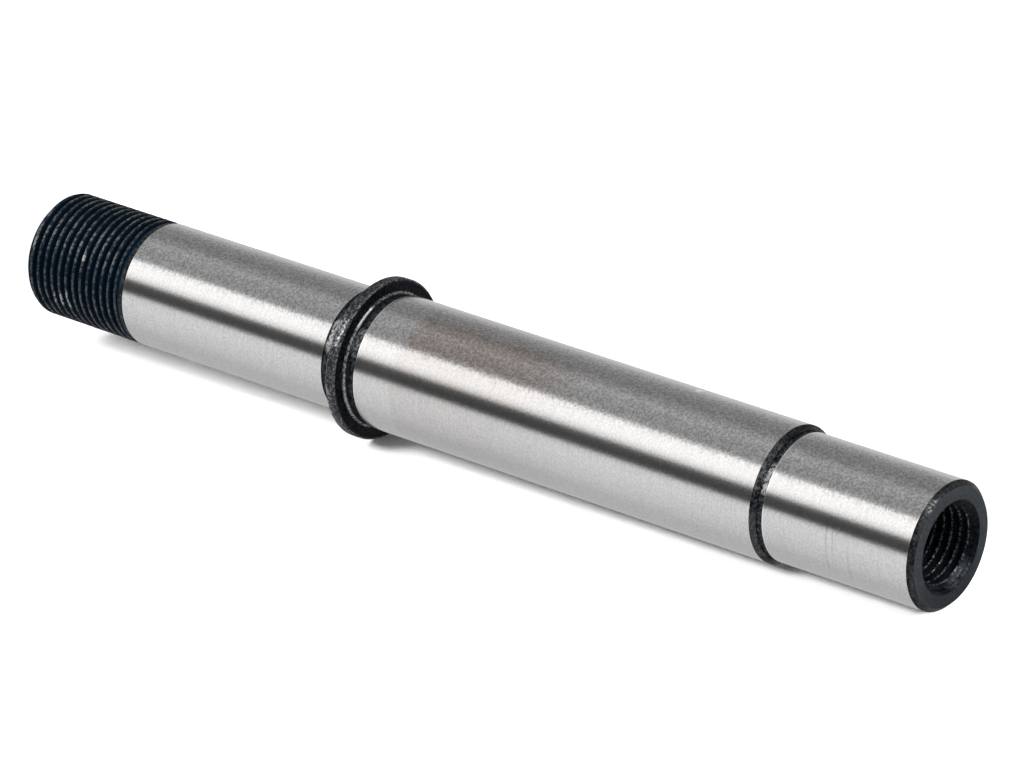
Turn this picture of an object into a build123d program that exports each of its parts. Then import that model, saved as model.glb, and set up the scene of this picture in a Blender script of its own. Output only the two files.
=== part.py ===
"""Turned hub axle of a small-wheeled stunt bicycle.

One bar of steel, drilled through. It stands on its threaded end, and +Z runs
up the axle to the end that the axle bolt enters. All sizes are in millimetres.
"""

import os

from build123d import *

# Diameters of the turned lands, from the threaded end up
thread_diameter = 14.0
left_journal_diameter = 14.0
collar_diameter = 18.0
main_journal_diameter = 15.0

# Step from the main journal down to the right one, measured on the radius
shoulder_height = 0.5
right_journal_diameter = main_journal_diameter - 2 * shoulder_height

# Lengths of the same lands
thread_length = 14.2
left_journal_length = 28.85
collar_width = 1.25
main_journal_length = 52.9
right_journal_length = 18.15

# Grinding reliefs: shallow necks where the wheel runs out beside a shoulder
relief_depth = 0.16
thread_relief_width = 0.6
left_relief_width = 2.2
main_relief_width = 1.4
right_relief_width = 0.7

# Broken edges and the radii at the foot of the collar
thread_end_chamfer = 0.8
bolt_end_chamfer = 0.55
step_chamfer = 0.5
collar_edge_chamfer = 0.15
collar_root_radius = 0.3

# Bore: drilled through, then opened out, countersunk and tapped at both ends
through_bore_diameter = 8.0
tapping_bore_diameter = 8.4
tapping_bore_depth = 26.0
countersink_diameter = 10.1
countersink_angle = 90.0

# Heights of the shoulders, summed from the lengths above
left_journal_foot = thread_length + thread_relief_width
left_journal_top = left_journal_foot + left_journal_length
collar_foot = left_journal_top + left_relief_width
collar_top = collar_foot + collar_width
main_journal_foot = collar_top + main_relief_width
step_foot = main_journal_foot + main_journal_length
step_top = step_foot + step_chamfer
right_journal_foot = step_top + right_relief_width
right_journal_top = right_journal_foot + right_journal_length
overall_length = right_journal_top + bolt_end_chamfer

# Radii of the necks, each a relief depth below the journal it belongs to
left_neck_radius = left_journal_diameter / 2 - relief_depth
main_neck_radius = main_journal_diameter / 2 - relief_depth
right_neck_radius = right_journal_diameter / 2 - relief_depth


def turned_land(foot: float, top: float, radius: float) -> None:
    """Add one cylindrical land to the half section between two heights."""
    with Locations((0, foot)):
        Rectangle(radius, top - foot, align=(Align.MIN, Align.MIN))


def ring_edge(height: float, radius: float) -> ShapeList:
    """Find the circular edge of the axle at a height and a radius."""
    circles = axle.edges().filter_by(GeomType.CIRCLE)
    at_height = circles.filter_by(lambda edge: abs(edge.arc_center.Z - height) < 0.01)
    return at_height.filter_by(lambda edge: abs(edge.radius - radius) < 0.01)


with BuildPart() as axle:
    # The lands and necks, stacked as a half section and turned about Z
    with BuildSketch(Plane.XZ) as half_section:
        turned_land(0, thread_length, thread_diameter / 2)
        turned_land(thread_length, left_journal_foot, left_neck_radius)
        turned_land(left_journal_foot, left_journal_top, left_journal_diameter / 2)
        turned_land(left_journal_top, collar_foot, left_neck_radius)
        turned_land(collar_foot, collar_top, collar_diameter / 2)
        turned_land(collar_top, main_journal_foot, main_neck_radius)
        turned_land(main_journal_foot, step_top, main_journal_diameter / 2)
        turned_land(step_top, right_journal_foot, right_neck_radius)
        turned_land(right_journal_foot, overall_length, right_journal_diameter / 2)
    revolve(axis=Axis.Z)

    # The collar: both edges broken, both roots rounded into their necks
    chamfer(ring_edge(collar_foot, collar_diameter / 2), collar_edge_chamfer)
    chamfer(ring_edge(collar_top, collar_diameter / 2), collar_edge_chamfer)
    fillet(ring_edge(collar_foot, left_neck_radius), collar_root_radius)
    fillet(ring_edge(collar_top, main_neck_radius), collar_root_radius)

    # The step from the main journal down to the right one, and the two ends
    chamfer(ring_edge(step_top, main_journal_diameter / 2), step_chamfer)
    chamfer(ring_edge(0, thread_diameter / 2), thread_end_chamfer)
    chamfer(ring_edge(overall_length, right_journal_diameter / 2), bolt_end_chamfer)

    # The bore, open right through and wider where the ends are tapped
    with Locations(Plane(origin=(0, 0, overall_length), z_dir=(0, 0, 1))):
        Hole(through_bore_diameter / 2)
    for height, outward in ((0, -1), (overall_length, 1)):
        with Locations(Plane(origin=(0, 0, height), z_dir=(0, 0, outward))):
            CounterSinkHole(
                tapping_bore_diameter / 2,
                countersink_diameter / 2,
                tapping_bore_depth,
                countersink_angle,
            )

os.makedirs("parts", exist_ok=True)
axle.part.label = "axle"
export_step(axle.part, "parts/axle.step")
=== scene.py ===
"""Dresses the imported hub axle: ground journals, black threads, collar and studio.

The axle stands on its threaded end with +Z running up to the end that takes
the axle bolt. Sizes in the classes are in millimetres; the finished mesh is
scaled to metres once it is complete. Bearings round the axle are in degrees
from the side that faces the camera, and grow anticlockwise seen from above.
"""

import logging
import math
from dataclasses import dataclass
from enum import Enum

import bmesh
import bpy
from mathutils import Matrix, Vector


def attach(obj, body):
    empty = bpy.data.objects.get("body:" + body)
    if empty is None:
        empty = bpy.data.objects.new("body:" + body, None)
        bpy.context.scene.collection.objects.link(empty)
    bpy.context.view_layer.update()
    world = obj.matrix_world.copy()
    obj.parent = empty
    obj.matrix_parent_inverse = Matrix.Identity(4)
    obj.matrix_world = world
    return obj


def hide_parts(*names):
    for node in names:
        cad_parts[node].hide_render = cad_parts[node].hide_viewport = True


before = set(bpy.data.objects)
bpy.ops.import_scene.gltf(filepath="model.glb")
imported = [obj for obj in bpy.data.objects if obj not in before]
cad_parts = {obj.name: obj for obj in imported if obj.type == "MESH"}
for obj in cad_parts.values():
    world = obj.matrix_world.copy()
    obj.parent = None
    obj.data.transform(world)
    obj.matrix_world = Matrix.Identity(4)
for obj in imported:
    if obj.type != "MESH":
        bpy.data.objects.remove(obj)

LOG = logging.getLogger("hub_axle")
Socket = bpy.types.NodeSocket
Pair = tuple[float, float]

# Metres in a millimetre, millimetres in a metre, and the turn from +X to the camera's side
MM = 0.001
PER_METRE = 1000.0
FRONT = -90.0

# Steps round the axle, and the sharpest edge, in degrees, that is still shaded smooth
SEGMENTS = 144
SMOOTH_BELOW = 24.0

# Corners closer than the first are joined, and edges shorter than the second collapse
WELD = 0.002
SLIVER = 0.0002

WHITE = (1.0, 1.0, 1.0, 1.0)

# The corners' layer that says how bright an edge was rubbed
BURNISH = "burnish"

# A thread's flank: the share of its width, and how deep it is there
FLANK = ((0.0, 0.0), (0.12, 0.06), (0.5, 0.5), (0.86, 0.93), (1.0, 1.0))


class Skin(Enum):
    """Finishes on the axle; each value is the finish's slot in the mesh."""

    GROUND = 0
    THREAD = 1
    NECK = 2
    COLLAR = 3
    END_FACE = 4
    BORE = 5


def bearing_vector(bearing: float, elevation: float = 0.0) -> Vector:
    """Turn a bearing and an elevation into a direction.

    Args:
        bearing: Degrees round the axle from the side that faces the camera.
        elevation: Degrees above the floor.

    Returns:
        A unit vector that way.
    """
    turn = math.radians(bearing + FRONT)
    rise = math.radians(elevation)
    flat = math.cos(rise)
    return Vector((math.cos(turn) * flat, math.sin(turn) * flat, math.sin(rise)))


def baked(work: bmesh.types.BMesh, name: str) -> bpy.types.Mesh:
    """Turn finished work into a mesh and free it."""
    mesh = bpy.data.meshes.new(name)
    work.to_mesh(mesh)
    work.free()
    return mesh


def linked(name: str, data: bpy.types.ID) -> bpy.types.Object:
    """Make an object and link it into the scene."""
    made = bpy.data.objects.new(name, data)
    bpy.context.scene.collection.objects.link(made)
    return made


@dataclass(frozen=True)
class Station:
    """One corner of the turned outline, and the finish of the band above it."""

    height: float
    radius: float
    skin: Skin
    edge: float = 0.0


def turn_round(part: bmesh.types.BMesh, chain: list, climb: float = 0.0) -> None:
    """Turn a chain of corners once round Z.

    Args:
        part: The mesh that holds the corners.
        chain: The corners, each joined to the next.
        climb: Rise at each step; a chain that doesn't climb closes on itself.
    """
    lines = [part.edges.new(pair) for pair in zip(chain, chain[1:])]
    bmesh.ops.spin(
        part,
        geom=[*chain, *lines], cent=(0.0, 0.0, 0.0), axis=(0.0, 0.0, 1.0), dvec=(0.0, 0.0, climb),
        angle=math.tau, steps=SEGMENTS, use_merge=climb == 0.0, use_duplicate=False,
    )


class AxleMesh:
    """The single mesh that all the turned and threaded sections are cut into."""

    def __init__(self) -> None:
        """Start an empty mesh."""
        self.work = bmesh.new()
        self.work.verts.layers.float.new(BURNISH)

    def outline(self, stations: list[Station]) -> None:
        """Turn an outline about Z and add it.

        Args:
            stations: The outline's corners; each gives the finish of the band
                that runs from it to the next.
        """
        part = bmesh.new()
        burnish = part.verts.layers.float.new(BURNISH)
        order = part.verts.layers.int.new("order")
        chain = []
        for index, station in enumerate(stations):
            point = bearing_vector(0.0) * station.radius
            point.z = station.height
            vert = part.verts.new(point)
            vert[burnish] = station.edge
            vert[order] = index
            chain.append(vert)
        turn_round(part, chain)
        for face in part.faces:
            first = min(vert[order] for vert in face.verts)
            face.material_index = stations[first].skin.value
        part.verts.layers.int.remove(order)
        self.add(part)

    def add(self, part: bmesh.types.BMesh) -> None:
        """Take a finished section into the axle's mesh and free it."""
        carrier = baked(part, "section")
        self.work.from_mesh(carrier)
        bpy.data.meshes.remove(carrier)

    def finish(self, name: str) -> bpy.types.Object:
        """Close the work and make it an object in metres.

        Args:
            name: Name of the new object.

        Returns:
            The finished piece, at the origin.
        """
        bmesh.ops.remove_doubles(self.work, verts=self.work.verts, dist=WELD)
        bmesh.ops.recalc_face_normals(self.work, faces=self.work.faces)
        for face in self.work.faces:
            face.smooth = True
        for edge in self.work.edges:
            if len(edge.link_faces) == 2:
                edge.smooth = edge.calc_face_angle(0.0) < math.radians(SMOOTH_BELOW)
        bmesh.ops.scale(self.work, vec=(MM, MM, MM), verts=self.work.verts)
        open_edges = sum(1 for edge in self.work.edges if edge.is_boundary)
        piece = linked(name, baked(self.work, name))
        LOG.info("%s: %d faces, %d open edges", name, len(piece.data.polygons), open_edges)
        return piece


@dataclass(frozen=True)
class ThreadForm:
    """The section of a thread: its pitch, its two radii and their flats."""

    pitch: float
    crest_radius: float
    root_radius: float
    crest_flat: float
    root_flat: float

    def profile(self) -> list[Pair]:
        """Give one pitch of the thread's section, from root to root.

        Returns:
            Offsets along the axle from the crest, each with its radius.
        """
        half = self.pitch / 2
        crest = self.crest_flat / 2
        root = half - self.root_flat / 2
        deep = self.root_radius - self.crest_radius
        up = [(crest + (root - crest) * out, self.crest_radius + deep * down) for out, down in FLANK]
        below = [(-along, radius) for along, radius in reversed(up)]
        return [(-half, self.root_radius), *below, *up, (half, self.root_radius)]


@dataclass
class Thread:
    """A helical thread of one form, cut flat at both ends."""

    form: ThreadForm
    front_crest: float
    foot: float
    top: float
    skin: Skin
    limits: list[tuple[float, float, bool]]

    def turn(self) -> bpy.types.Mesh:
        """Sweep the section through one turn of the helix.

        Returns:
            One turn of the thread, starting at the crest on the front.
        """
        part = bmesh.new()
        out = bearing_vector(0.0)
        chain = [
            part.verts.new(out * radius + Vector((0.0, 0.0, self.front_crest + along)))
            for along, radius in self.form.profile()
        ]
        turn_round(part, chain, self.form.pitch / SEGMENTS)
        for face in part.faces:
            face.material_index = self.skin.value
        return baked(part, "thread_turn")

    def cut(self, mesh: AxleMesh) -> None:
        """Add the thread's surface to the axle.

        Args:
            mesh: The axle's mesh.
        """
        turn = self.turn()
        pitch = self.form.pitch
        spare = 2
        below = math.ceil((self.front_crest - self.foot) / pitch) + spare
        above = math.ceil((self.top - self.front_crest) / pitch) + spare
        part = bmesh.new()
        turn.transform(Matrix.Translation((0.0, 0.0, -below * pitch)))
        for _ in range(below + above):
            part.from_mesh(turn)
            turn.transform(Matrix.Translation((0.0, 0.0, pitch)))
        bpy.data.meshes.remove(turn)
        self.trim(part.verts)
        bmesh.ops.remove_doubles(part, verts=part.verts, dist=WELD)
        bmesh.ops.dissolve_degenerate(part, edges=part.edges, dist=SLIVER)
        mesh.add(part)

    def trim(self, verts: bmesh.types.BMVertSeq) -> None:
        """Hold the thread between its ends, its chamfers and its run-outs.

        Each limit is a height, a radius and whether it caps the radius; caps
        and floors are read as straight lines between their limits. What would
        pass an end is gathered on the end's ring.

        Args:
            verts: The thread's corners.
        """
        caps = sorted((z, r) for z, r, is_cap in self.limits if is_cap)
        floors = sorted((z, r) for z, r, is_cap in self.limits if not is_cap)
        for vert in verts:
            vert.co.z = min(max(vert.co.z, self.foot), self.top)
            reach = math.hypot(vert.co.x, vert.co.y)
            held = min(max(reach, along_line(floors, vert.co.z)), along_line(caps, vert.co.z))
            vert.co.x *= held / reach
            vert.co.y *= held / reach


def along_line(points: list[Pair], place: float) -> float:
    """Read a broken line at one place.

    Args:
        points: The line's corners, in order.
        place: Where to read it.

    Returns:
        The line's value there, held level past both ends.
    """
    if place <= points[0][0]:
        return points[0][1]
    for (x0, y0), (x1, y1) in zip(points, points[1:]):
        if place <= x1:
            return y0 + (y1 - y0) * (place - x0) / (x1 - x0)
    return points[-1][1]


@dataclass(frozen=True)
class ThreadedEnd:
    """The outer thread, its chamfered start and its run-out."""

    form: ThreadForm = ThreadForm(
        pitch=1.045, crest_radius=6.995, root_radius=6.40, crest_flat=0.24, root_flat=0.16
    )
    front_crest: float = 1.03
    face_radius: float = 6.2
    chamfer: float = 0.8
    runout_foot: float = 13.3
    runout_top: float = 14.05
    crest_fall: float = 0.15
    top: float = 14.2
    neck_radius: float = 6.86

    def build(self, mesh: AxleMesh) -> None:
        """Cut the outer thread.

        Args:
            mesh: The axle's mesh.
        """
        Thread(
            form=self.form, front_crest=self.front_crest, foot=0.0, top=self.top, skin=Skin.THREAD,
            limits=[
                (0.0, self.face_radius, True),
                (self.chamfer, self.face_radius + self.chamfer, True),
                (self.runout_top - self.crest_fall, self.form.crest_radius, True),
                (self.runout_top, self.neck_radius, True),
                (self.runout_foot, self.form.root_radius, False),
                (self.runout_top, self.neck_radius, False),
            ],
        ).cut(mesh)


@dataclass(frozen=True)
class Journals:
    """The ground lands, the necks beside them, the collar and the step.

    A shine is how bright an edge was rubbed; the rim has four edges.
    """

    foot: float = 14.2
    thread_neck: float = 6.86
    left_foot: float = 14.8
    left_top: float = 43.65
    left_radius: float = 7.0
    left_neck: float = 6.88
    collar_foot: float = 45.85
    collar_top: float = 47.1
    collar_radius: float = 9.0
    collar_break: float = 0.15
    root_radius: float = 0.3
    root_steps: int = 6
    root_shine: float = 1.0
    main_neck: float = 7.38
    main_foot: float = 48.5
    main_top: float = 101.4
    main_radius: float = 7.5
    step: float = 0.5
    right_neck: float = 6.88
    right_foot: float = 102.6
    right_top: float = 120.75
    right_radius: float = 7.0
    end_break: float = 0.55
    end_lip: Pair = (0.02, 0.04)
    edge_break: float = 0.05
    burnish_width: float = 0.22
    left_shine: float = 0.3
    main_shine: float = 1.0
    right_shine: float = 1.0
    rim_shines: tuple[float, float, float, float] = (0.4, 0.3, 0.22, 0.30)

    def land(self, foot: float, top: float, radius: float, shine: float) -> list[Station]:
        """Give the stations of one ground land with broken edges.

        Args:
            foot: Height where the land starts.
            top: Height where it ends.
            radius: Its radius.
            shine: How bright the wheel left the edge at its foot.

        Returns:
            The land's stations, from its foot up.
        """
        small = self.edge_break
        wide = self.burnish_width
        return [
            Station(foot, radius - small, Skin.GROUND, shine),
            Station(foot + small, radius, Skin.GROUND, shine),
            Station(foot + wide, radius, Skin.GROUND),
            Station(top - small, radius, Skin.NECK),
            Station(top, radius - small, Skin.NECK),
        ]

    def root(self, height: float, radius: float, up: bool) -> list[Station]:
        """Give the rounded root between a neck and a face of the collar.

        Args:
            height: Height of the collar's face.
            radius: The neck's radius.
            up: Whether the collar lies above the neck.

        Returns:
            Stations round the fillet, from the lower to the upper.
        """
        size = self.root_radius
        way = 1.0 if up else -1.0
        turns = [step * 90.0 / self.root_steps for step in range(self.root_steps + 1)]
        arc = [
            Station(
                height - way * size * (1 - math.sin(math.radians(turn))),
                radius + size * (1 - math.cos(math.radians(turn))),
                Skin.COLLAR if up or turn else Skin.NECK,
                self.root_shine * math.sin(math.radians(turn * 2)),
            )
            for turn in turns
        ]
        return arc if up else arc[::-1]

    def build(self, mesh: AxleMesh, mouth_radius: float) -> None:
        """Turn everything between the thread and the bolt end's mouth.

        Args:
            mesh: The axle's mesh.
            mouth_radius: Radius of the countersink's rim.
        """
        small = self.collar_break
        rim = self.rim_shines
        lip_height, lip_drop = self.end_lip
        foot, top, wide = self.collar_foot, self.collar_top, self.collar_radius
        collar = [
            (foot, wide - small, rim[0]),
            (foot + small, wide, rim[1]),
            (foot + small * 2, wide, 0.0),
            (top - small * 2, wide, 0.0),
            (top - small, wide, rim[2]),
            (top, wide - small, rim[3]),
            (top, wide - small * 2, 0.0),
        ]
        outline = [
            Station(self.foot, self.thread_neck, Skin.NECK),
            Station(self.left_foot, self.thread_neck, Skin.NECK),
            *self.land(self.left_foot, self.left_top, self.left_radius, self.left_shine),
            Station(self.left_top, self.left_neck, Skin.NECK),
            *self.root(foot, self.left_neck, True),
            *(Station(height, radius, Skin.COLLAR, shine) for height, radius, shine in collar),
            *self.root(top, self.main_neck, False),
            Station(self.main_foot, self.main_neck, Skin.NECK),
            *self.land(self.main_foot, self.main_top, self.main_radius, self.main_shine),
            Station(self.main_top + self.step, self.main_radius - self.step, Skin.NECK),
            Station(self.main_top + self.step, self.right_neck, Skin.NECK),
            Station(self.right_foot, self.right_neck, Skin.NECK),
            *self.land(self.right_foot, self.right_top, self.right_radius, self.right_shine),
            Station(self.right_top + lip_height, self.right_radius - lip_drop, Skin.NECK),
            Station(self.right_top + self.end_break, self.right_radius - self.end_break, Skin.END_FACE),
            Station(self.right_top + self.end_break, mouth_radius, Skin.BORE),
        ]
        mesh.outline(outline)


@dataclass(frozen=True)
class TappedBore:
    """The drilled hole with a countersunk, tapped mouth at each end."""

    overall: float = 121.3
    form: ThreadForm = ThreadForm(
        pitch=1.04, crest_radius=4.2, root_radius=4.76, crest_flat=0.14, root_flat=0.2
    )
    mouth_radius: float = 5.05
    mouth_cap: float = 10.1
    core_radius: float = 4.0
    tapped_depth: float = 18.0
    drilled_depth: float = 26.0
    core_step: float = 0.2
    runout: Pair = (1.0, 0.1)
    front_crest: float = 119.888
    foot_crest: float = 1.2

    def build(self, mesh: AxleMesh) -> None:
        """Cut both tapped mouths and the drilled core between them.

        Args:
            mesh: The axle's mesh.
        """
        depth = self.tapped_depth
        crest, root = self.form.crest_radius, self.form.root_radius
        cone = self.mouth_radius - crest
        fades, fades_out = self.runout
        for mouth, way, front in ((self.overall, -1.0, self.front_crest), (0.0, 1.0, self.foot_crest)):
            inner = mouth + way * depth
            Thread(
                form=self.form, front_crest=front, skin=Skin.BORE,
                foot=min(mouth, inner), top=max(mouth, inner),
                limits=[
                    (mouth, self.mouth_radius, False),
                    (mouth + way * cone, crest, False),
                    (mouth, self.mouth_cap, True),
                    (inner - way * fades, root, True),
                    (inner - way * fades_out, crest, True),
                ],
            ).cut(mesh)
        low, high = self.drilled_depth, self.overall - self.drilled_depth
        core, step = self.core_radius, self.core_step
        wall = (
            (depth, crest), (low, crest), (low + step, core),
            (high - step, core), (high, crest), (self.overall - depth, crest),
        )
        mesh.outline([Station(height, radius, Skin.BORE) for height, radius in wall])


@dataclass
class HubAxle:
    """The whole axle: one bar, threaded, ground, collared and bored."""

    threaded_end: ThreadedEnd = ThreadedEnd()
    journals: Journals = Journals()
    bore: TappedBore = TappedBore()

    def build(self) -> bpy.types.Object:
        """Cut every section into one mesh and close it.

        Returns:
            The axle as one object.
        """
        mesh = AxleMesh()
        rim = self.bore.mouth_radius
        self.threaded_end.build(mesh)
        self.journals.build(mesh, rim)
        self.bore.build(mesh)
        foot_face = (rim, self.threaded_end.face_radius)
        mesh.outline([Station(0.0, radius, Skin.END_FACE) for radius in foot_face])
        return mesh.finish("hub_axle")


class Board:
    """Places and links the nodes of one material, world or node group."""

    COLUMN = 180.0
    DROP = 60.0
    ROWS = 5

    def __init__(self, tree: bpy.types.NodeTree) -> None:
        """Take an empty node tree to build in."""
        self.tree = tree
        self.column = 0

    def node(self, kind: str, settings: dict | None = None, **inputs: object) -> bpy.types.Node:
        """Add a node.

        Args:
            kind: The node's type.
            settings: Properties of the node itself.
            inputs: Socket values or the sockets to link; an underscore in a
                name stands for a space, and in0, in1 mean sockets by place.

        Returns:
            The new node.
        """
        made = self.tree.nodes.new(kind)
        self.column += 1
        made.location = (self.column * self.COLUMN, -self.DROP * (self.column % self.ROWS))
        for name, value in (settings or {}).items():
            setattr(made, name, value)
        for name, value in inputs.items():
            place = name[2:]
            key = int(place) if name.startswith("in") and place.isdigit() else name.replace("_", " ")
            if isinstance(value, Socket):
                self.tree.links.new(value, made.inputs[key])
            else:
                made.inputs[key].default_value = value
        return made

    def math(self, operation: str, first: object, second: object = 0.0, clamp: bool = False) -> Socket:
        """Add a Math node and give its result."""
        settings = {"operation": operation, "use_clamp": clamp}
        return self.node("ShaderNodeMath", settings, in0=first, in1=second).outputs[0]

    def times(self, first: object, second: object) -> Socket:
        """Multiply two values."""
        return self.math("MULTIPLY", first, second)

    def plus(self, first: object, second: object) -> Socket:
        """Add two values."""
        return self.math("ADD", first, second)

    def lifted(self, mask: Socket, floor: float) -> Socket:
        """Lift a mask so that it runs from a floor to 1."""
        return self.plus(floor, self.times(mask, 1.0 - floor))

    def span(self, value: object, low: object, high: object) -> Socket:
        """Run smoothly from 0 at the low value to 1 at the high one."""
        settings = {"interpolation_type": "SMOOTHSTEP"}
        made = self.node("ShaderNodeMapRange", settings, Value=value, From_Min=low, From_Max=high)
        return made.outputs["Result"]

    def mix(self, share: object, first: object, second: object, blend: str = "MIX") -> Socket:
        """Mix two colours by a share and give the result."""
        settings = {"data_type": "RGBA", "blend_type": blend}
        return self.node("ShaderNodeMix", settings, in0=share, in6=first, in7=second).outputs[2]

    def point(self) -> Socket:
        """Give the point's place on the object."""
        return self.node("ShaderNodeTexCoord").outputs["Object"]

    def split(self, vector: Socket) -> list[Socket]:
        """Give a vector's X, Y and Z."""
        return self.node("ShaderNodeSeparateXYZ", Vector=vector).outputs[:]

    def group(self, name: str, **inputs: object) -> bpy.types.Node:
        """Place a shared node group with its own input values."""
        tree = bpy.data.node_groups[name]
        return self.node("ShaderNodeGroup", {"node_tree": tree}, **inputs)

    def speckle(self, per_mm: float, detail: float, low: float, high: float) -> Socket:
        """Place the speckle group and give its mask."""
        made = self.group("speckle", Per_Millimetre=per_mm, Detail=detail, Low=low, High=high)
        return made.outputs["Mask"]

    def bump(self, height: Socket, strength: float, distance: float, **inputs: Socket) -> Socket:
        """Raise the surface by a height and give its normal."""
        made = self.node("ShaderNodeBump", Strength=strength, Distance=distance, Height=height, **inputs)
        return made.outputs["Normal"]

    def burnish(self) -> Socket:
        """Read how bright the corners round here were rubbed."""
        return self.node("ShaderNodeAttribute", {"attribute_name": BURNISH}).outputs["Fac"]


def fresh_board(data: bpy.types.ID) -> Board:
    """Empty the node tree of a material or a world and open a board on it."""
    data.use_nodes = True
    data.node_tree.nodes.clear()
    return Board(data.node_tree)


@dataclass(frozen=True)
class SharedEffects:
    """Node groups that several finishes use.

    Where a patch's edge strays a millimetre along the axle, it strays by the
    stray turn, in degrees, round it.
    """

    stray_turn: float = 8.0

    @staticmethod
    def start(name: str, takes: dict[str, float], gives: tuple[str, ...]) -> Board:
        """Start a node group.

        Args:
            name: The group's name.
            takes: Its inputs, each with its default.
            gives: Its results.

        Returns:
            A board in the group's tree.
        """
        tree = bpy.data.node_groups.new(name, "ShaderNodeTree")
        for title, value in takes.items():
            made = tree.interface.new_socket(name=title, in_out="INPUT", socket_type="NodeSocketFloat")
            made.default_value = value
        for title in gives:
            tree.interface.new_socket(name=title, in_out="OUTPUT", socket_type="NodeSocketFloat")
        return Board(tree)

    def place(self) -> None:
        """Make the group that gives a point's place on the axle."""
        board = self.start("axle_place", {}, ("Height", "Radius", "Across", "Toward"))
        across, away, up = board.split(board.point())
        radius = board.math("SQRT", board.plus(board.times(across, across), board.times(away, away)))
        board.node(
            "NodeGroupOutput",
            Height=board.times(up, PER_METRE), Radius=board.times(radius, PER_METRE),
            Across=board.math("DIVIDE", across, radius),
            Toward=board.math("DIVIDE", board.times(away, -1.0), radius),
        )

    def speckle(self) -> None:
        """Make the group that gives an even speckle of a chosen size."""
        takes = {"Per Millimetre": 3.0, "Detail": 2.0, "Low": 0.4, "High": 0.6}
        board = self.start("speckle", takes, ("Mask",))
        given = board.node("NodeGroupInput").outputs
        noise = board.node(
            "ShaderNodeTexNoise",
            Vector=board.point(),
            Scale=board.times(given["Per Millimetre"], PER_METRE),
            Detail=given["Detail"], Roughness=0.6,
        )
        mask = board.span(noise.outputs["Fac"], given["Low"], given["High"])
        board.node("NodeGroupOutput", Mask=mask)

    def turning(self) -> None:
        """Make the group that gives fine marks running round the axle."""
        board = self.start("turning_marks", {"Round": 0.5, "Along": 12.0}, ("Marks",))
        given = board.node("NodeGroupInput").outputs
        across, away, up = board.split(board.point())
        wide = board.times(given["Round"], PER_METRE)
        fine = board.times(given["Along"], PER_METRE)
        packed = board.node(
            "ShaderNodeCombineXYZ",
            X=board.times(across, wide), Y=board.times(away, wide), Z=board.times(up, fine),
        ).outputs[0]
        noise = board.node("ShaderNodeTexNoise", Vector=packed, Scale=1.0, Detail=3.0, Roughness=0.6)
        board.node("NodeGroupOutput", Marks=noise.outputs["Fac"])

    def patch(self) -> None:
        """Make the group that masks one ragged patch on the axle's side."""
        takes = {
            "Bearing": 0.0, "Spread": 10.0, "Soft": 5.0, "Bottom": 0.0,
            "Top": 10.0, "Fade In": 0.5, "Fade Out": 0.5, "Ragged": 1.0,
        }
        board = self.start("side_patch", takes, ("Mask",))
        given = board.node("NodeGroupInput").outputs
        place = board.group("axle_place").outputs
        point = board.point()
        noise = board.node("ShaderNodeTexNoise", Vector=point, Scale=900.0, Detail=4.0, Roughness=0.65)
        stray = board.times(board.math("SUBTRACT", noise.outputs["Fac"], 0.5), given["Ragged"])
        turn = board.times(given["Bearing"], math.radians(1.0))
        across = board.times(place["Across"], board.math("SINE", turn))
        toward = board.times(place["Toward"], board.math("COSINE", turn))
        facing = board.math("MINIMUM", board.plus(across, toward), 1.0)
        angle = board.times(board.math("ARCCOSINE", facing), math.degrees(1.0))
        astray = board.plus(angle, board.times(stray, self.stray_turn))
        height = board.plus(place["Height"], stray)
        reach = board.math("SUBTRACT", board.plus(given["Spread"], given["Soft"]), astray)
        risen = board.math("SUBTRACT", height, given["Bottom"])
        left = board.math("SUBTRACT", given["Top"], height)
        side = board.math("DIVIDE", reach, given["Soft"], True)
        above = board.math("DIVIDE", risen, given["Fade In"], True)
        below = board.math("DIVIDE", left, given["Fade Out"], True)
        mask = board.times(side, board.times(above, below))
        board.node("NodeGroupOutput", Mask=board.span(mask, 0.0, 1.0))

    def build(self) -> None:
        """Make every shared group."""
        self.place()
        self.speckle()
        self.turning()
        self.patch()


@dataclass(frozen=True)
class Patch:
    """One place on the axle by bearing in degrees and height in millimetres; it marks real wear, stains
    and scratches, and also painted highlights, reflections and shade.

    It is full over its spread to both sides of the bearing and sinks over the
    soft degrees past that. Over its two fades it rises from its bottom and
    sinks to its top. Ragged is how far its edge wanders in millimetres, and
    solid how far it covers the speckle under it.
    """

    bearing: float
    spread: float
    bottom: float
    top: float
    soft: float = 5.0
    fade: Pair = (0.5, 0.5)
    ragged: float = 1.0
    strength: float = 1.0
    solid: float = 0.0

    def mask(self, board: Board) -> Socket:
        """Place the patch in a material and give its mask."""
        made = board.group(
            "side_patch",
            Bearing=self.bearing, Spread=self.spread, Soft=self.soft, Ragged=self.ragged,
            Bottom=self.bottom, Top=self.top, Fade_In=self.fade[0], Fade_Out=self.fade[1],
        )
        return board.times(made.outputs["Mask"], self.strength)
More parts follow.
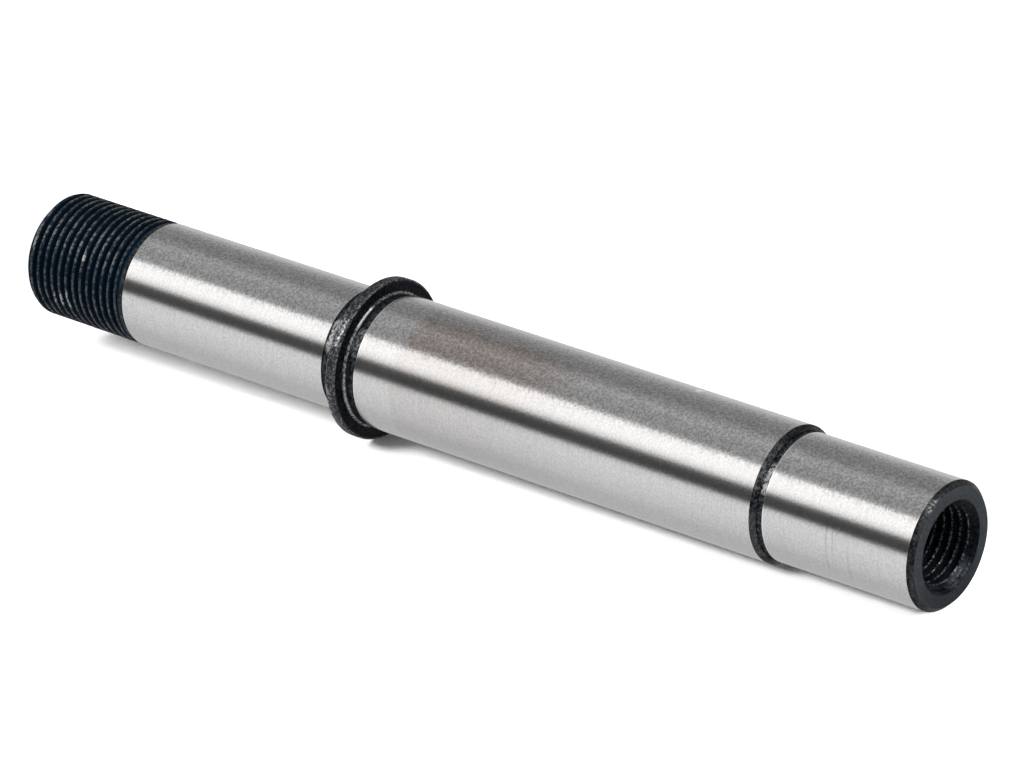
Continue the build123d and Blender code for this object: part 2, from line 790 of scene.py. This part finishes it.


# Patches where the thread, the necks and the collar are rubbed, and painted highlights and reflections on
# them
# On the thread the three long patches, at -14, -62 and 52 degrees, are painted highlights on the crests;
# the short ones are rubbed spots and a nick
THREAD_WEAR_AND_HIGHLIGHTS = (
    Patch(-14.0, 8.0, 0.5, 13.6, soft=18.0, ragged=3.0, strength=0.125),
    Patch(-62.0, 8.0, 0.5, 13.6, soft=12.0, ragged=3.0, strength=0.085),
    Patch(52.0, 14.0, 0.5, 13.6, soft=14.0, ragged=3.0, strength=0.04),
    Patch(47.0, 4.0, 3.9, 6.7, soft=6.0, ragged=3.0, strength=0.4),
    Patch(3.0, 6.0, 0.7, 1.4, soft=6.0, strength=0.45),
    Patch(0.0, 1.8, 8.0, 8.7, soft=1.4, fade=(0.1, 0.1), ragged=0.1, strength=1.9, solid=0.9),
)
# Painted highlights and reflections on the necks and the end chamfer, at the bearings where the lamps and
# the tent's bright bands shine back
NECK_HIGHLIGHTS = (
    Patch(-5.0, 10.0, 43.5, 46.0, soft=8.0, strength=0.8),
    Patch(-6.0, 8.0, 47.2, 48.5, soft=7.0, fade=(0.3, 0.2), ragged=2.5, strength=0.3),
    Patch(-6.0, 10.0, 101.3, 101.9, soft=7.0, fade=(0.1, 0.1), strength=0.18),
    Patch(-6.0, 10.0, 101.9, 102.7, fade=(0.1, 0.1), strength=0.85),
    Patch(50.0, 18.0, 101.3, 101.9, soft=12.0, fade=(0.1, 0.1), strength=0.12, solid=0.6),
    Patch(-28.0, 7.0, 120.8, 121.5, soft=8.0),
    Patch(-58.0, 14.0, 120.8, 121.5, soft=10.0, strength=0.08, solid=0.7),
    Patch(50.0, 18.0, 120.8, 121.5, soft=12.0, strength=0.11, solid=0.7),
    Patch(-5.0, 9.0, 120.8, 121.5, soft=6.0, strength=0.16, solid=0.7),
)
# Painted highlights and reflections on the collar's rim and its root fillets
COLLAR_HIGHLIGHTS = (
    Patch(-6.0, 7.0, 46.35, 46.98, soft=6.0, fade=(0.3, 0.2), ragged=0.8, strength=0.9),
    Patch(-6.0, 9.0, 46.0, 46.5, soft=6.0, fade=(0.2, 0.4), ragged=1.2, strength=0.4),
    Patch(-28.0, 8.0, 47.12, 47.6, soft=7.0, fade=(0.05, 0.1), ragged=0.1, solid=0.7),
    Patch(45.0, 14.0, 47.12, 47.6, soft=12.0, fade=(0.05, 0.1), ragged=0.1, strength=0.36, solid=0.6),
    Patch(50.0, 12.0, 45.9, 46.6, soft=12.0, fade=(0.2, 0.3), ragged=1.2, strength=0.18),
)


@dataclass(frozen=True)
class GroundSteel:
    """Bright cylindrical-ground steel with round marks, grain and a stain."""

    color: tuple = (0.84, 0.84, 0.84, 1.0)
    dark: tuple = (0.54, 0.54, 0.55, 1.0)
    warm: tuple = (1.0, 0.988, 0.976, 1.0)
    side_mottle_tint: tuple = (0.80, 0.79, 0.79, 1.0)
    haze: tuple = (0.94, 0.925, 0.915, 1.0)
    stain: tuple = (0.90, 0.80, 0.735, 1.0)
    scratch: tuple = (0.84, 0.84, 0.86, 1.0)
    burnished: tuple = WHITE
    roughness: float = 0.11
    roughness_swing: float = 0.16
    anisotropy: float = 0.55
    grain_share: float = 0.34
    mottled_side_share: float = 0.98
    streak_share: float = 0.6
    blotch_share: float = 0.5
    stain_floor: float = 0.5
    # Over bearings -64 to -16, along the whole length, the grain is stronger and a darker mottle lies over
    # it
    mottled_side: Patch = Patch(-40.0, 24.0, -10.0, 200.0, soft=8.0, ragged=2.0)
    stained: Patch = Patch(-32.0, 13.0, 53.4, 80.0, soft=6.0, fade=(1.2, 14.0), ragged=1.6)
    tinted: Patch = Patch(-10.0, 70.0, 53.3, 84.0, soft=25.0, fade=(0.6, 20.0), ragged=1.2)
    scratches: tuple = (
        Patch(36.0, 18.0, 110.5, 110.95, soft=10.0, fade=(0.15, 0.15), ragged=0.25),
        Patch(26.0, 8.0, 111.4, 111.7, soft=12.0, fade=(0.15, 0.15), ragged=0.3),
        Patch(48.0, 10.0, 113.3, 113.6, soft=12.0, fade=(0.15, 0.15), ragged=0.3),
        Patch(-28.0, 5.0, 114.2, 114.8, fade=(0.2, 0.2), ragged=1.2),
        Patch(-25.0, 2.5, 21.2, 21.9, soft=2.5, fade=(0.2, 0.2), ragged=0.8),
        Patch(-28.0, 3.0, 31.1, 31.7, soft=3.0, fade=(0.2, 0.2), ragged=1.2),
    )
    nick: Patch = Patch(-73.0, 3.0, 87.4, 88.5, soft=3.0, fade=(0.3, 0.3), ragged=1.5)

    def tint(self, board: Board, grain: Socket, marks: Socket) -> Socket:
        """Colour the steel.

        Args:
            board: The material's board.
            grain: The fine grain.
            marks: The marks round the axle.

        Returns:
            The colour, before the edges are burnished.
        """
        mottled_side = self.mottled_side.mask(board)
        strong = board.plus(self.grain_share, board.times(mottled_side, self.mottled_side_share))
        centred = board.math("SUBTRACT", grain, 0.5)
        streaks = board.times(board.math("SUBTRACT", marks, 0.5), self.streak_share)
        even = board.plus(board.times(centred, strong), streaks)
        shade = board.mix(board.math("ADD", even, 0.5, True), self.color, self.dark)
        blotch = board.times(board.speckle(0.22, detail=3.0, low=0.4, high=0.7), self.blotch_share)
        shade = board.mix(blotch, shade, self.warm, "MULTIPLY")
        shade = board.mix(self.tinted.mask(board), shade, self.haze, "MULTIPLY")
        # Darker mottle over bearings -64 to -16
        mottle = board.speckle(2.3, detail=3.0, low=0.3, high=0.68)
        shade = board.mix(board.times(mottled_side, mottle), shade, self.side_mottle_tint, "MULTIPLY")
        stain = board.times(self.stained.mask(board), board.lifted(mottle, self.stain_floor))
        shade = board.mix(stain, shade, self.stain, "MULTIPLY")
        for scratch in self.scratches:
            shade = board.mix(scratch.mask(board), shade, self.scratch, "MULTIPLY")
        return board.mix(self.nick.mask(board), shade, self.burnished)

    def material(self) -> bpy.types.Material:
        """Build the material.

        Returns:
            The finished material.
        """
        made = bpy.data.materials.new("ground_steel")
        board = fresh_board(made)
        grain = board.speckle(4.0, detail=2.0, low=0.34, high=0.66)
        marks = board.group("turning_marks", Round=0.35, Along=9.0).outputs["Marks"]
        tint = self.tint(board, grain, marks)
        color = board.mix(board.burnish(), tint, self.burnished)
        coarse = board.bump(marks, strength=0.12, distance=0.00002)
        tangent = board.node("ShaderNodeTangent", {"direction_type": "RADIAL", "axis": "Z"})
        shader = board.node(
            "ShaderNodeBsdfPrincipled",
            Base_Color=color,
            Roughness=board.plus(self.roughness, board.times(marks, self.roughness_swing)),
            Metallic=1.0, Anisotropic=self.anisotropy, Anisotropic_Rotation=0.25,
            Normal=board.bump(grain, strength=0.3, distance=0.000004, Normal=coarse),
            Tangent=tangent.outputs[0],
        )
        board.node("ShaderNodeOutputMaterial", Surface=shader.outputs[0])
        return made


@dataclass(frozen=True)
class BlackOxide:
    """Oiled black oxide, rubbed grey where a crest or an edge stands proud, with patches that paint
    highlights and reflections and, on the thread, mark a few rubbed spots.
    """

    name: str
    color: tuple = (0.0004, 0.0034, 0.0085, 1.0)
    rubbed: tuple = (0.16, 0.16, 0.16, 1.0)
    roughness: float = 0.44
    roughness_swing: float = 0.14
    metal_share: float = 0.8
    sheen_level: float = 0.13
    crest_band: Pair = (20.0, 21.0)
    speckle_size: float = 3.4
    speckle_band: Pair = (0.46, 0.70)
    speckle_share: float = 0.2
    bump: float = 0.15
    crest_share: float = 1.0
    worn_floor: float = 0.45
    patches: tuple = ()
    highlight_and_wear_color: tuple = (0.34, 0.34, 0.34, 1.0)
    crests_only: bool = False

    def material(self) -> bpy.types.Material:
        """Build the material.

        Returns:
            The finished material.
        """
        made = bpy.data.materials.new(self.name)
        board = fresh_board(made)
        place = board.group("axle_place").outputs
        speck = board.speckle(self.speckle_size, 3.0, *self.speckle_band)
        uneven = board.lifted(speck, self.worn_floor)
        crest = board.span(place["Radius"], *self.crest_band)
        edge = board.burnish()
        worn = board.math("MAXIMUM", board.times(crest, self.crest_share), edge)
        share = board.math("MAXIMUM", board.times(worn, uneven), board.times(speck, self.speckle_share))
        color = board.mix(share, self.color, self.rubbed)
        # Patches paint highlights and reflections into the colour, and on the thread a few rubbed spots
        for patch in self.patches:
            bright = board.times(patch.mask(board), board.math("MAXIMUM", uneven, patch.solid))
            if self.crests_only:
                bright = board.times(bright, board.math("MAXIMUM", crest, edge))
            share = board.math("MAXIMUM", share, bright)
            color = board.mix(bright, color, self.highlight_and_wear_color)
        shader = board.node(
            "ShaderNodeBsdfPrincipled",
            Base_Color=color,
            Metallic=board.times(share, self.metal_share),
            Roughness=board.math("SUBTRACT", self.roughness, board.times(speck, self.roughness_swing)),
            Specular_IOR_Level=self.sheen_level, Normal=board.bump(speck, self.bump, distance=0.00004),
        )
        board.node("ShaderNodeOutputMaterial", Surface=shader.outputs[0])
        return made


@dataclass(frozen=True)
class FacedOxide:
    """Black oxide on the faced end, with the rings that facing left, and painted shade on its side toward
    the backdrop.
    """

    color: tuple = (0.012, 0.019, 0.026, 1.0)
    light: tuple = (0.066, 0.076, 0.085, 1.0)
    light_share: float = 0.55
    painted_shade_tint: tuple = (0.55, 0.56, 0.58, 1.0)
    # Painted shade: darkens the end face on its side toward the backdrop
    shade: Patch = Patch(118.0, 25.0, -10.0, 200.0, soft=55.0)
    rim_band: Pair = (6.33, 6.40)
    roughness: float = 0.5
    rings_per_mm: float = 3.2

    def material(self) -> bpy.types.Material:
        """Build the material.

        Returns:
            The finished material.
        """
        made = bpy.data.materials.new("faced_end")
        board = fresh_board(made)
        place = board.group("axle_place").outputs
        ring = board.times(place["Radius"], self.rings_per_mm)
        settings = {"noise_dimensions": "1D"}
        noise = board.node("ShaderNodeTexNoise", settings, W=ring, Scale=1.0, Detail=2.0, Roughness=0.6)
        rings = noise.outputs["Fac"]
        speck = board.speckle(3.0, detail=3.0, low=0.35, high=0.7)
        share = board.math("MULTIPLY", board.plus(rings, speck), self.light_share, True)
        color = board.mix(share, self.color, self.light)
        color = board.mix(board.span(place["Radius"], *self.rim_band), color, self.light)
        # Painted shade on the side toward the backdrop
        color = board.mix(self.shade.mask(board), color, self.painted_shade_tint, "MULTIPLY")
        shader = board.node(
            "ShaderNodeBsdfPrincipled",
            Base_Color=color,
            Metallic=0.3, Roughness=self.roughness, Specular_IOR_Level=0.4,
            Normal=board.bump(rings, strength=0.2, distance=0.00003),
        )
        board.node("ShaderNodeOutputMaterial", Surface=shader.outputs[0])
        return made


@dataclass(frozen=True)
class Lamp:
    """A square softbox: bearing and elevation in degrees, size and distance in metres, power in watts."""

    name: str
    bearing: float
    elevation: float
    size: float
    power: float
    shows_in_steel: bool = True
    distance: float = 1.2
    aim: tuple = (0.0, 0.0, 0.06)

    def hang(self) -> None:
        """Hang the softbox so that it looks at the axle."""
        data = bpy.data.lights.new(self.name, "AREA")
        data.shape = "SQUARE"
        data.size = self.size
        data.energy = self.power
        made = linked(self.name, data)
        way = bearing_vector(self.bearing, self.elevation)
        spot = Vector(self.aim) + way * self.distance
        made.matrix_world = Matrix.Translation(spot) @ way.to_track_quat("Z", "Y").to_matrix().to_4x4()
        made.visible_glossy = self.shows_in_steel


@dataclass(frozen=True)
class Paper:
    """A matt white paper: its own glow before the camera, and how pale it is lit."""

    name: str
    glow: float
    pale: float
    lets_light_through: bool = False


@dataclass
class Studio:
    """The pale floor, the backdrop board, the tent round them and the camera.

    The tent is a list of bearings, each with its brightness; throw is the share
    of it that the steel passes on to the boards. The camera's eye is in metres,
    and its three axes are turned as the photograph was taken.
    """

    tent: tuple = (
        (-180, 0.62), (-168, 0.68), (-152, 0.66), (-138, 0.52), (-126, 0.42),
        (-116, 0.32), (-92, 0.27), (-84, 0.34), (-68, 0.50), (-42, 0.38),
        (-30, 0.40), (-25, 1.38), (-4, 1.40), (6, 1.06), (13, 0.08),
        (32.5, 0.045), (39.5, 0.87), (56, 0.89), (90, 0.74), (110, 0.61),
        (150, 0.55), (160, 0.60), (168, 0.38), (180, 0.50),
    )
    key_warmth: tuple = (0.982, 0.960)
    throw: float = 0.27
    zenith: tuple = (0.012, 0.020, 0.032, 1.0)
    zenith_rise: tuple = (0.35, 0.8)
    lamps: tuple = (
        Lamp("softbox", bearing=-62.0, elevation=45.0, size=0.5, power=6.0),
        Lamp("table_light", bearing=-8.5, elevation=-27.0, size=0.34, power=21.5, shows_in_steel=False),
    )
    floor_paper: Paper = Paper("floor_paper", glow=0.9, pale=0.9, lets_light_through=True)
    board_paper: Paper = Paper("backdrop_paper", glow=0.02, pale=0.92)
    floor_size: float = 6.0
    board_bearing: float = 120.0
    board_gap: float = 9.15
    board_slope: float = 0.0282
    board_size: float = 1.2
    collar_height: float = 46.5
    # Where the backdrop's glow is painted up to white to hide the axle's shadow past the bolt end, in
    # metres
    clear_height: tuple = (0.112, 0.117)
    clear_side: tuple = (0.0072, 0.0063)
    clear_past: tuple = (0.1190, 0.1208)
    lens_pixels: float = 6143.0
    image_width: float = 1024.0
    sensor: float = 36.0
    camera_reach: tuple = (0.01, 50.0)
    eye: tuple = (0.0, -0.5362, 0.4372)
    right: tuple = (-0.31673, 0.54153, 0.77876)
    up: tuple = (-0.94853, -0.18308, -0.25847)
    back: tuple = (0.00261, -0.82050, 0.57163)

    def camera(self) -> None:
        """Place the camera where the photograph was taken from."""
        data = bpy.data.cameras.new("camera")
        data.sensor_width = self.sensor
        data.lens = self.lens_pixels / self.image_width * self.sensor
        data.clip_start, data.clip_end = self.camera_reach
        made = linked("camera", data)
        turn = Matrix((self.right, self.up, self.back)).transposed().to_4x4()
        made.matrix_world = Matrix.Translation(self.eye) @ turn
        bpy.context.scene.camera = made

    def world(self) -> None:
        """Build the tent that the steel reflects; the camera sees plain white."""
        world = bpy.data.worlds.new("tent")
        bpy.context.scene.world = world
        board = fresh_board(world)
        across, away, up = board.split(board.node("ShaderNodeTexCoord").outputs["Generated"])
        bearing = board.math("ARCTAN2", across, board.times(away, -1.0))
        place = board.plus(board.math("DIVIDE", bearing, math.tau), 0.5)
        ramp = board.node("ShaderNodeValToRGB", Fac=place)
        stops = ramp.color_ramp.elements
        given = len(stops)
        for index, (angle, level) in enumerate(self.tent):
            spot = angle / 360.0 + 0.5
            stop = stops[index] if index < given else stops.new(spot)
            stop.position = spot
            warm, warmer = self.key_warmth if level > 1.0 else (1.0, 1.0)
            stop.color = (level, level * warm, level * warmer, 1.0)
        rise = board.span(up, *self.zenith_rise)
        color = board.mix(rise, ramp.outputs["Color"], self.zenith)
        path = board.node("ShaderNodeLightPath").outputs
        bounced = board.math("MINIMUM", path["Diffuse Depth"], 1.0)
        thrown = board.times(bounced, path["Is Glossy Ray"])
        dimmed = board.math("SUBTRACT", 1.0, board.times(thrown, 1.0 - self.throw))
        tent = board.node("ShaderNodeBackground", Color=color, Strength=dimmed)
        plain = board.node("ShaderNodeBackground", Color=WHITE, Strength=1.0)
        seen = path["Is Camera Ray"]
        both = board.node("ShaderNodeMixShader", in0=seen, in1=tent.outputs[0], in2=plain.outputs[0])
        board.node("ShaderNodeOutputWorld", Surface=both.outputs[0])

    def clear_past_end(self, board: Board, glow: float) -> Socket:
        """Raise a board's glow to full white past the axle's bolt end, painted light that washes out the
        axle's cast shadow there.

        Args:
            board: The paper's board.
            glow: The glow everywhere else.

        Returns:
            The glow at each point of the paper.
        """
        across, _, up = board.split(board.point())
        high = board.span(up, *self.clear_height)
        beside = board.span(across, *self.clear_side)
        past = board.span(up, *self.clear_past)
        return board.lifted(board.math("MAXIMUM", past, board.times(high, beside)), glow)

    def finish(self, paper: Paper) -> bpy.types.Material:
        """Build a matt white that the steel's reflections pass through.

        Args:
            paper: What the board is covered with.

        Returns:
            The finished material.
        """
        made = bpy.data.materials.new(paper.name)
        board = fresh_board(made)
        path = board.node("ShaderNodeLightPath").outputs
        matt = board.node("ShaderNodeBsdfDiffuse", Color=(paper.pale, paper.pale, paper.pale, 1.0))
        glow = board.times(path["Is Camera Ray"], self.clear_past_end(board, paper.glow))
        lift = board.node("ShaderNodeEmission", Color=WHITE, Strength=glow)
        lit = board.node("ShaderNodeAddShader", in0=matt.outputs[0], in1=lift.outputs[0])
        clear = board.node("ShaderNodeBsdfTransparent")
        behind = board.node("ShaderNodeNewGeometry").outputs["Backfacing"]
        passed = board.math("MAXIMUM", path["Is Glossy Ray"], behind)
        if paper.lets_light_through:
            passed = board.math("MAXIMUM", passed, path["Is Shadow Ray"])
        both = board.node("ShaderNodeMixShader", in0=passed, in1=lit.outputs[0], in2=clear.outputs[0])
        board.node("ShaderNodeOutputMaterial", Surface=both.outputs[0])
        return made

    def sheet(self, name: str, centre: Vector, normal: Vector, size: float, paper: Paper) -> None:
        """Stand a square board in the studio.

        Args:
            name: The board's name.
            centre: Its middle, in metres.
            normal: The way its face looks.
            size: Its side, in metres.
            paper: What it is covered with.
        """
        work = bmesh.new()
        bmesh.ops.create_grid(work, x_segments=1, y_segments=1, size=size / 2)
        turn = normal.to_track_quat("Z", "Y").to_matrix().to_4x4()
        bmesh.ops.transform(work, matrix=Matrix.Translation(centre) @ turn, verts=work.verts)
        made = linked(name, baked(work, name))
        made.data.materials.append(self.finish(paper))

    def backdrop(self) -> None:
        """Stand the board that the axle leans its shadow on.

        It nearly touches the collar and the bolt end, as a table top would
        under an axle that lies on it.
        """
        away = bearing_vector(self.board_bearing)
        slope = self.board_slope
        middle = self.board_size / 2
        gap = (self.board_gap - slope * (middle / MM - self.collar_height)) * MM
        centre = away * gap + Vector((0.0, 0.0, middle))
        normal = (away + Vector((0.0, 0.0, slope))).normalized() * -1.0
        self.sheet("backdrop", centre, normal, self.board_size, self.board_paper)

    def build(self) -> None:
        """Set up the whole studio."""
        upward = Vector((0.0, 0.0, 1.0))
        self.sheet("floor", Vector(), upward, self.floor_size, self.floor_paper)
        self.backdrop()
        self.world()
        for lamp in self.lamps:
            lamp.hang()
        self.camera()
        bpy.context.scene.view_settings.view_transform = "Standard"


def finishes() -> dict[Skin, object]:
    """Give each skin of the axle its finish.

    Returns:
        The finish of every skin.
    """
    return {
        Skin.GROUND: GroundSteel(),
        Skin.THREAD: BlackOxide(
            "thread_oxide",
            color=(0.0, 0.0052, 0.0122, 1.0),
            rubbed=(0.115, 0.11, 0.105, 1.0),
            sheen_level=0.07, crest_band=(6.83, 6.99), crest_share=0.34, crests_only=True,
            speckle_size=2.6, speckle_band=(0.42, 0.62), speckle_share=0.01, worn_floor=0.05,
            patches=THREAD_WEAR_AND_HIGHLIGHTS, highlight_and_wear_color=(0.48, 0.48, 0.47, 1.0),
        ),
        Skin.NECK: BlackOxide(
            "neck_oxide",
            color=(0.0008, 0.0024, 0.0046, 1.0),
            rubbed=(0.30, 0.30, 0.30, 1.0),
            speckle_size=3.0, speckle_band=(0.42, 0.64), speckle_share=0.085, worn_floor=0.1,
            patches=NECK_HIGHLIGHTS, highlight_and_wear_color=(0.40, 0.40, 0.40, 1.0),
        ),
        Skin.COLLAR: BlackOxide(
            "collar_oxide",
            color=(0.0004, 0.0016, 0.0046, 1.0),
            rubbed=(0.50, 0.50, 0.50, 1.0),
            sheen_level=0.08, crest_band=(8.7, 8.95), crest_share=0.10, crests_only=True,
            speckle_band=(0.42, 0.66), speckle_share=0.03, worn_floor=0.1, bump=0.3,
            patches=COLLAR_HIGHLIGHTS, highlight_and_wear_color=(0.70, 0.70, 0.70, 1.0),
        ),
        Skin.END_FACE: FacedOxide(),
        Skin.BORE: BlackOxide(
            "bore_oxide",
            color=(0.0003, 0.0016, 0.0040, 1.0),
            rubbed=(0.27, 0.30, 0.33, 1.0),
            sheen_level=0.10, crest_band=(4.34, 4.22),
            speckle_band=(0.46, 0.68), speckle_share=0.05, worn_floor=0.03,
            # A painted highlight on the countersink and the crests inside the mouth
            patches=(Patch(148.0, 10.0, 120.2, 121.35, soft=22.0, ragged=1.4, strength=0.75, solid=0.25),),
            highlight_and_wear_color=(0.30, 0.34, 0.38, 1.0),
        ),
    }


def main() -> None:
    """Build the axle, dress it, set up the studio and report each piece."""
    logging.basicConfig(level=logging.INFO, format="%(name)s: %(message)s")
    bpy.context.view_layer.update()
    SharedEffects().build()
    axle = HubAxle().build()
    dressed = finishes()
    for skin in Skin:
        axle.data.materials.append(dressed[skin].material())
    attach(axle, "root")
    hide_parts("axle")
    LOG.info("axle dressed with %d finishes", len(dressed))
    Studio().build()
    LOG.info("studio set")


if __name__ == "__main__":
    main()
